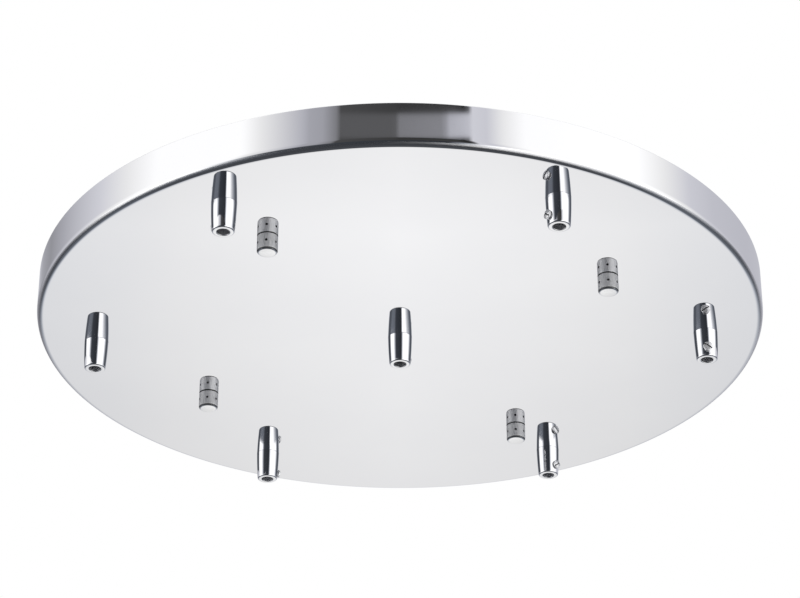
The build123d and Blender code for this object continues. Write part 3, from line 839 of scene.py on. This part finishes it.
satin_nickel = metal("satin_nickel", turning_marks, metallic=0.65, bump=0.2, bump_distance=0.02 * MM,
                     ring_scale=10.0, roughness_low=0.50, roughness_high=0.62, tone=(0.96, 0.96, 0.96, 1),
                     ring_tone=(0.82, 0.82, 0.825, 1))
# Painted shade: faces marked as a recess are darkened to 0.10 of their colour, in the pin holes, at the top
# chamfer and in a band on the lower edge round.
painted_shade_where(satin_nickel, "recess", 0.10)
polished_nickel = metal("polished_nickel", turning_marks, bump=0.05, ring_scale=6.0, roughness_low=0.08,
                        roughness_high=0.14, tone=(0.82, 0.82, 0.825, 1), ring_tone=(0.76, 0.76, 0.765, 1))
nut_bottom = FACE_Z - NUT_HEIGHT
bore_end = FACE_Z - NUT_BORE_DEPTH
side_top = FACE_Z - NUT_TOP_CHAMFER
side_end = nut_bottom + NUT_EDGE_ROUND
ring_count = int((side_top - side_end) / RING_PITCH)
ring_step = (side_top - side_end) / ring_count
rings = []
for ring in range(ring_count):
    for share, depth in ((0.1, 0), (0.7, 0), (0.9, RING_DEPTH)):
        rings.append((NUT_RADIUS - depth, side_top - (ring + share) * ring_step, 0))
nut_outline = outline_mesh("cap_nut_outline", [
    (NUT_BORE_RADIUS, FACE_Z, 0),
    (NUT_RADIUS - NUT_TOP_CHAMFER, FACE_Z, 0),
    *rings,
    (NUT_RADIUS, nut_bottom, NUT_EDGE_ROUND),
    (0, nut_bottom, 0),
    (0, bore_end - NUT_BORE_CONE, 0),
    (NUT_BORE_RADIUS, bore_end, 0),
], arc_steps=10)
pinned_nut = pinned_nut_tree()
for number in STUDS:
    node = f"cap_nut_{number}"
    nut = made_by(
        pinned_nut, f"turned_{node}", nut_outline, sharp_degrees=35, steps_around=NUT_STEPS,
        pin_holes=PIN_HOLE_COUNT, hole_radius=PIN_HOLE_RADIUS, hole_depth=PIN_HOLE_DEPTH,
        side_radius=NUT_RADIUS, hole_height=(0, 0, FACE_Z - PIN_HOLE_DROP),
        first_hole=(0, 0, math.radians(PIN_HOLE_AZIMUTH)), end_level=nut_bottom + NUT_POLISHED_END,
        place=level_place(node), finish=satin_nickel, second_finish=polished_nickel,
    )
    stands_for(nut, "satin_nickel", node)


# Threaded nipples and hanger studs
# Hollow M10 nipples join the grips to the pan, and M4 studs hang the pan from the bracket. Both are cut
# with a fine right-hand thread and zinc plated.

NIPPLE_RADIUS = 5.0 * MM
NIPPLE_BORE_RADIUS = 3.4 * MM
NIPPLE_CHAMFER = 0.4 * MM
NIPPLE_PITCH = 1.0 * MM
NIPPLE_THREAD_DEPTH = 0.45 * MM
NIPPLE_STEPS = 56
STUD_RADIUS = 2.0 * MM
STUD_CHAMFER = 0.5 * MM
STUD_PITCH = 0.7 * MM
STUD_THREAD_DEPTH = 0.32 * MM
STUD_STEPS = 32
ROWS_PER_PITCH = 5

at_ports = {"count_around": len(PORTS) - 1, "ring_radius": port_circle_radius, "middle_count": 1}
at_studs = {"count_around": len(STUDS), "ring_radius": stud_circle_radius, "middle_count": 0}


def at_ring(tree, piece, given):
    """Instances of a piece on a ring of points, and on the middle if there is one there."""
    ring = ring_of(tree, given["Count Around"], given["Ring Radius"])
    ring_points = add_node(tree, "GeometryNodeMeshToPoints", {"Mesh": ring})[0]
    centre = add_node(tree, "GeometryNodePoints", {"Count": given["Middle Count"]})[0]
    return on_points(tree, add_node(tree, "GeometryNodeJoinGeometry", {0: [ring_points, centre]})[0], piece)


def turned_set_tree():
    """Turned pieces on a ring and at its middle, with a right-hand thread outside if it has depth."""
    tree, given, leave = piece_tree("turned_set", {
        "Side Radius": 0.005, "Pitch": 0.001, "Thread Depth": 0.0, "Count Around": 0, "Ring Radius": 0.193,
        "Middle Count": 1, "Place": "Vector",
    })
    place = xyz_of(tree)
    reach, flat = reach_of(tree)
    turn = sums(tree, "DIVIDE", sums(tree, "ARCTAN2", place["Y"], place["X"]), 2 * math.pi)
    climb = sums(tree, "SUBTRACT", sums(tree, "DIVIDE", place["Z"], given["Pitch"]), turn)
    on_side = sums(tree, "GREATER_THAN", reach, sums(tree, "SUBTRACT", given["Side Radius"], 0.01 * MM))
    slope = sums(tree, "ABSOLUTE", sums(tree, "MULTIPLY_ADD", sums(tree, "FRACT", climb), 2.0, -1.0))
    wave = sums(tree, "SUBTRACT", 1.0, slope)
    valley = sums(tree, "MULTIPLY", wave, on_side)
    # The valley mark is highest at the thread roots, where the zinc thread finish darkens the colour as
    # painted shade, with the dirt that settles there.
    grooved = stored(tree, turned_part(tree, given), "valley", valley, "FLOAT", "POINT")
    depth = sums(tree, "MULTIPLY", sums(tree, "MULTIPLY", wave, given["Thread Depth"]), -1.0)
    inwards = vector_sums(tree, "MULTIPLY", vector_sums(tree, "NORMALIZE", flat)[0], depth)[0]
    rod = add_node(tree, "GeometryNodeSetPosition", {
        "Geometry": grooved, "Selection": on_side, "Offset": inwards,
    })[0]
    return finished(tree, moved(tree, at_ring(tree, rod, given), given["Place"]), given, leave)


def zinc_group():
    """Zinc plate: pale clouded patches, a faint blue and straw tint, and short rolling lines."""
    group, given, leave = pattern_tree("zinc_bloom", {
        "Bloom Scale": 160.0, "Roughness Low": 0.26, "Roughness High": 0.42, "Tone": (0.60, 0.62, 0.64, 1),
        "Bloom Tone": (0.50, 0.52, 0.53, 1), "Line Direction": Vector((1, 14, 1)),
    })
    place = add_node(group, "ShaderNodeTexCoord")["Object"]
    bloom = noise(group, place, given["Bloom Scale"], 4.0, 0.5)
    lines = noise(group, vector_sums(group, "MULTIPLY", place, given["Line Direction"])[0], 160.0)
    mixed = sums(group, "MULTIPLY_ADD", lines, 0.5, sums(group, "MULTIPLY", bloom, 0.5))
    rough = ranged(group, mixed, given["Roughness Low"], given["Roughness High"], 0.35, 0.65)
    bloom_share = ranged(group, bloom, 0.0, 1.0, 0.4, 0.62)
    feed(group, leave["Roughness"], rough)
    feed(group, leave["Color"], blended(group, bloom_share, given["Tone"], given["Bloom Tone"]))
    feed(group, leave["Height"], lines)
    return group


def threaded_rod(name, radius, box, chamfer, pitch, thread_depth, bore=0.0, **sizes):
    """Threaded rods or tubes as high as a box, with rows fine enough for their thread."""
    low, high = box[0].z, box[1].z
    top = high - (chamfer if bore else 0)
    rows = max(2, round(abs(top - low - chamfer) / (pitch / ROWS_PER_PITCH)))
    side = [(radius, low + chamfer + (top - low - chamfer) * row / rows, 0) for row in range(rows + 1)]
    ends = [(radius - chamfer, high, 0), (bore, high, 0)] if bore else [(0, high, 0)]
    outline = outline_mesh(name + "_outline", [(bore, low, 0), (radius - chamfer, low, 0), *side, *ends])
    return made_by(turned_set, name, outline, sharp_degrees=70, side_radius=radius, pitch=pitch,
                   thread_depth=thread_depth, finish=zinc_thread, **sizes)


zinc_bloom = zinc_group()
zinc_plate = metal("zinc_plate", zinc_bloom, bump=0.12, bump_distance=0.05 * MM)
zinc_thread = metal("zinc_thread", zinc_bloom, bump_distance=0.02 * MM, bloom_scale=500.0,
                    tone=(0.58, 0.59, 0.60, 1))
# Painted shade, with settled dirt: the thread roots are darkened to 0.45 of their colour.
painted_shade_where(zinc_thread, "valley", 0.45)
turned_set = turned_set_tree()
nipples = threaded_rod("threaded_nipples", NIPPLE_RADIUS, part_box("threaded_nipple_1"), NIPPLE_CHAMFER,
                       NIPPLE_PITCH, NIPPLE_THREAD_DEPTH, NIPPLE_BORE_RADIUS, steps_around=NIPPLE_STEPS,
                       **at_ports)
stands_for(nipples, "zinc_plate", *[f"threaded_nipple_{number}" for number in PORTS])
studs = threaded_rod("threaded_studs", STUD_RADIUS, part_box("bracket_studs"), STUD_CHAMFER, STUD_PITCH,
                     STUD_THREAD_DEPTH, steps_around=STUD_STEPS, **at_studs)
stands_for(studs, "zinc_plate", "bracket_studs")


# Washers and lock nuts
# Inside the pan, a blanked steel washer and a thin hexagon nut hold each nipple. Smaller hexagon nuts
# lock the studs to their straps. All are zinc plated.

WASHER_RADIUS = 8.5 * MM
WASHER_HOLE_RADIUS = 5.15 * MM
WASHER_THICKNESS = 0.8 * MM
WASHER_EDGE_ROUND = 0.2 * MM
NIPPLE_NUT_WIDTH = 14.0 * MM
NIPPLE_NUT_HEIGHT = 3.0 * MM
NIPPLE_NUT_BORE = 5.05 * MM
STUD_NUT_WIDTH = 7.0 * MM
STUD_NUT_HEIGHT = 3.2 * MM
STUD_NUT_BORE = 2.05 * MM
STUD_NUT_TOP = -3.6 * MM
NUT_BORE_CHAMFER = 0.35 * MM
NUT_BLANK_STEPS = 72


def hexagon_nuts_tree():
    """Hexagon bar cut by a turned blank with bevelled corners, on the points of a ring and its middle."""
    tree, given, leave = piece_tree("hexagon_nuts", {
        "Corner Radius": 0.008, "Height": 0.003, "Level": "Vector", "Count Around": 6, "Ring Radius": 0.193,
        "Middle Count": 1,
    })
    bar = cylinder(tree, given["Corner Radius"], sums(tree, "MULTIPLY", given["Height"], 1.5), 6)
    both = add_node(tree, "GeometryNodeMeshBoolean", {1: [turned_part(tree, given), bar]},
                    operation="INTERSECT", solver="EXACT")[0]
    return finished(tree, at_ring(tree, moved(tree, both, given["Level"]), given), given, leave)


def hexagon_nuts_of(name, width, height, bore, middle_z, **sizes):
    """Nuts from a turned blank with both faces bevelled at the corners."""
    corner = width / math.sqrt(3)
    cut = corner - width / 2
    half = height / 2
    blank = outline_mesh(name + "_outline", [
        (bore + NUT_BORE_CHAMFER, half, 0), (corner - cut, half, 0), (corner, half - cut / 2, 0),
        (corner, cut / 2 - half, 0), (corner - cut, -half, 0), (bore + NUT_BORE_CHAMFER, -half, 0),
        (bore, NUT_BORE_CHAMFER - half, 0), (bore, half - NUT_BORE_CHAMFER, 0),
    ])
    return made_by(hexagon_nuts, name, blank, sharp_degrees=20, steps_around=NUT_BLANK_STEPS, height=height,
                   corner_radius=corner, level=(0, 0, middle_z), finish=zinc_plate, **sizes)


washer_top = pan_floor + WASHER_THICKNESS
washers = made_by(turned_set, "blanked_washers", outline_mesh("washer_outline", [
    (WASHER_RADIUS, pan_floor, 0),
    (WASHER_RADIUS, washer_top, WASHER_EDGE_ROUND),
    (WASHER_HOLE_RADIUS, washer_top, WASHER_EDGE_ROUND),
    (WASHER_HOLE_RADIUS, pan_floor, 0),
], arc_steps=4), steps_around=NUT_BLANK_STEPS, finish=zinc_plate, **at_ports)
stands_for(washers, "zinc_plate", "nipple_washers")

hexagon_nuts = hexagon_nuts_tree()
nipple_nuts = hexagon_nuts_of("thin_hexagon_nuts", NIPPLE_NUT_WIDTH, NIPPLE_NUT_HEIGHT, NIPPLE_NUT_BORE,
                              washer_top + NIPPLE_NUT_HEIGHT / 2, **at_ports)
stands_for(nipple_nuts, "zinc_plate", "nipple_lock_nuts")
stud_nuts = hexagon_nuts_of("stud_hexagon_nuts", STUD_NUT_WIDTH, STUD_NUT_HEIGHT, STUD_NUT_BORE,
                            STUD_NUT_TOP - STUD_NUT_HEIGHT / 2, **at_studs)
stands_for(stud_nuts, "zinc_plate", "stud_lock_nuts")


# Bracket straps
# Two straps blanked and slotted from 2 mm rolled strip, with drawn bosses for the studs. One is pressed
# down at the middle to pass under the other. The shears leave softly rounded edges under the zinc.

STRAP_EDGE_ROUND = 0.22 * MM
STRAP_EDGE_STEPS = 2


def eased_copy(node, name, finish):
    """A merged copy of a flat-sided node with its sharp edges rounded."""
    form = bmesh.new()
    form.from_mesh(frame["nodes"][node].data)
    bmesh.ops.remove_doubles(form, verts=form.verts, dist=SEAM_GAP)
    bmesh.ops.dissolve_limit(form, angle_limit=math.radians(0.5), verts=form.verts, edges=form.edges)
    sharp = [edge for edge in form.edges if edge.calc_face_angle(0) > math.radians(50)]
    bmesh.ops.bevel(form, geom=sharp, offset=STRAP_EDGE_ROUND, segments=STRAP_EDGE_STEPS, profile=0.5,
                    affect="EDGES", clamp_overlap=True)
    bmesh.ops.recalc_face_normals(form, faces=form.faces)
    mesh = bpy.data.meshes.new(name)
    form.to_mesh(mesh)
    form.free()
    mesh.materials.append(finish)
    return as_piece(mesh, name, 30)


for node, name, direction in (
    ("bracket_bar_flat", "flat_strap", (1, 14, 1)),
    ("bracket_bar_joggled", "joggled_strap", (14, 1, 1)),
):
    strap_zinc = metal(f"zinc_{name}", zinc_bloom, bump=0.3, bump_distance=0.06 * MM, bloom_scale=70.0,
                       roughness_low=0.24, roughness_high=0.40, line_direction=direction)
    stands_for(eased_copy(node, name, strap_zinc), "zinc_plate", node)


# Bracket rivet
# One steel rivet, countersunk flush with the ceiling plane and spun over to a low dome below.

RIVET_FLUSH_RADIUS = 4.7 * MM
RIVET_SHANK_RADIUS = 3.0 * MM
RIVET_CROSSING = -4.0 * MM
RIVET_DOME_RADIUS = 5.25 * MM
RIVET_DOME_HEIGHT = 1.8 * MM
RIVET_DOME_ROUND = 1.08 * MM
RIVET_SPUN_RADIUS = 1.6 * MM
RIVET_SPUN_DEPTH = 0.12 * MM
RIVET_STEPS = 64

rivet_low = RIVET_CROSSING - RIVET_DOME_HEIGHT
rivet = made_by(turned_set, "spun_rivet", outline_mesh("rivet_outline", [
    (0, 0, 0),
    (RIVET_FLUSH_RADIUS, 0, 0),
    (RIVET_SHANK_RADIUS, RIVET_SHANK_RADIUS - RIVET_FLUSH_RADIUS, 0),
    (RIVET_SHANK_RADIUS, RIVET_CROSSING, 0),
    (RIVET_DOME_RADIUS, RIVET_CROSSING, 0),
    (RIVET_DOME_RADIUS, rivet_low, RIVET_DOME_ROUND),
    (RIVET_SPUN_RADIUS, rivet_low, 0),
    (RIVET_SPUN_RADIUS - RIVET_SPUN_DEPTH, rivet_low + RIVET_SPUN_DEPTH, 0),
    (0, rivet_low + RIVET_SPUN_DEPTH, 0),
]), steps_around=RIVET_STEPS, finish=zinc_plate)
stands_for(rivet, "zinc_plate", "bracket_rivet")


# Earthing screw and cup washer
# A slotted M4 machine screw, coated green to mark it, is tapped into the flat strap. Under its head
# sits a pressed brass cup washer whose rim keeps the earth wire in.

GROUND_THREAD_RADIUS = 2.0 * MM
GROUND_THREAD_DEPTH = 0.3 * MM
GROUND_THREAD_PITCH = 0.7 * MM
GROUND_TIP = 0.2 * MM
GROUND_SEAT = 2.8 * MM
GROUND_HEAD_RADIUS = 4.0 * MM
GROUND_HEAD_HEIGHT = 2.4 * MM
GROUND_HEAD_ROUND = 0.8 * MM
GROUND_HEAD_UNDERCUT = 0.15 * MM
GROUND_SLOT_WIDTH = 1.2 * MM
GROUND_SLOT_DEPTH = 1.2 * MM
CUP_RADIUS = 4.8 * MM
CUP_RIM_RADIUS = 4.4 * MM
CUP_HOLE_RADIUS = 2.15 * MM
CUP_TOP = -2.0 * MM
CUP_THICKNESS = 0.8 * MM
CUP_DEPTH = 0.9 * MM
CUP_EDGE_ROUND = 0.15 * MM
CUP_STEPS = 64

green_paint = metal("green_paint", buffed_polish, metallic=0.0, bump=0.3, bump_distance=0.02 * MM,
                    cloud_scale=900.0, roughness_low=0.30, roughness_high=0.45, tone=(0.04, 0.27, 0.10, 1),
                    cloud_tone=(0.05, 0.33, 0.13, 1))
pressed_brass = metal("pressed_brass", buffed_polish, bump=0.2, bump_distance=0.02 * MM, cloud_scale=500.0,
                      roughness_low=0.20, roughness_high=0.34, tone=(0.78, 0.58, 0.27, 1),
                      cloud_tone=(0.66, 0.47, 0.21, 1))
ground_place = level_place("ground_screw")
ground_top = GROUND_SEAT + GROUND_HEAD_HEIGHT
earthing_screw = made_by(slotted_screw, "green_earthing_screw", outline_mesh("earthing_screw_outline", [
    (0, GROUND_TIP, 0),
    *ringed_shank(GROUND_THREAD_RADIUS, GROUND_THREAD_DEPTH, GROUND_THREAD_PITCH, GROUND_TIP, GROUND_SEAT),
    (GROUND_HEAD_RADIUS - GROUND_HEAD_UNDERCUT, GROUND_SEAT, 0),
    (GROUND_HEAD_RADIUS, GROUND_SEAT + GROUND_HEAD_UNDERCUT, 0),
    (GROUND_HEAD_RADIUS, ground_top, GROUND_HEAD_ROUND),
    (0, ground_top, 0),
]), steps_around=SCREW_STEPS, slot_size=(3 * GROUND_HEAD_RADIUS, GROUND_SLOT_WIDTH, 2 * GROUND_SLOT_DEPTH),
    slot_height=(0, 0, ground_top), turn=(math.pi, 0, 0), place=ground_place, finish=green_paint)
stands_for(earthing_screw, "green_paint", "ground_screw")

cup_low = CUP_TOP - CUP_THICKNESS
cup_washer = made_by(turned_set, "brass_cup_washer", outline_mesh("cup_washer_outline", [
    (CUP_HOLE_RADIUS, CUP_TOP, CUP_EDGE_ROUND),
    (CUP_RADIUS, CUP_TOP, 2 * CUP_EDGE_ROUND),
    (CUP_RADIUS, cup_low - CUP_DEPTH, CUP_EDGE_ROUND),
    (CUP_RIM_RADIUS, cup_low - CUP_DEPTH, CUP_EDGE_ROUND),
    (CUP_RIM_RADIUS, cup_low, 0),
    (CUP_HOLE_RADIUS, cup_low, CUP_EDGE_ROUND),
], arc_steps=4), steps_around=CUP_STEPS, place=ground_place, finish=pressed_brass)
stands_for(cup_washer, "brass_plate", "ground_washer")
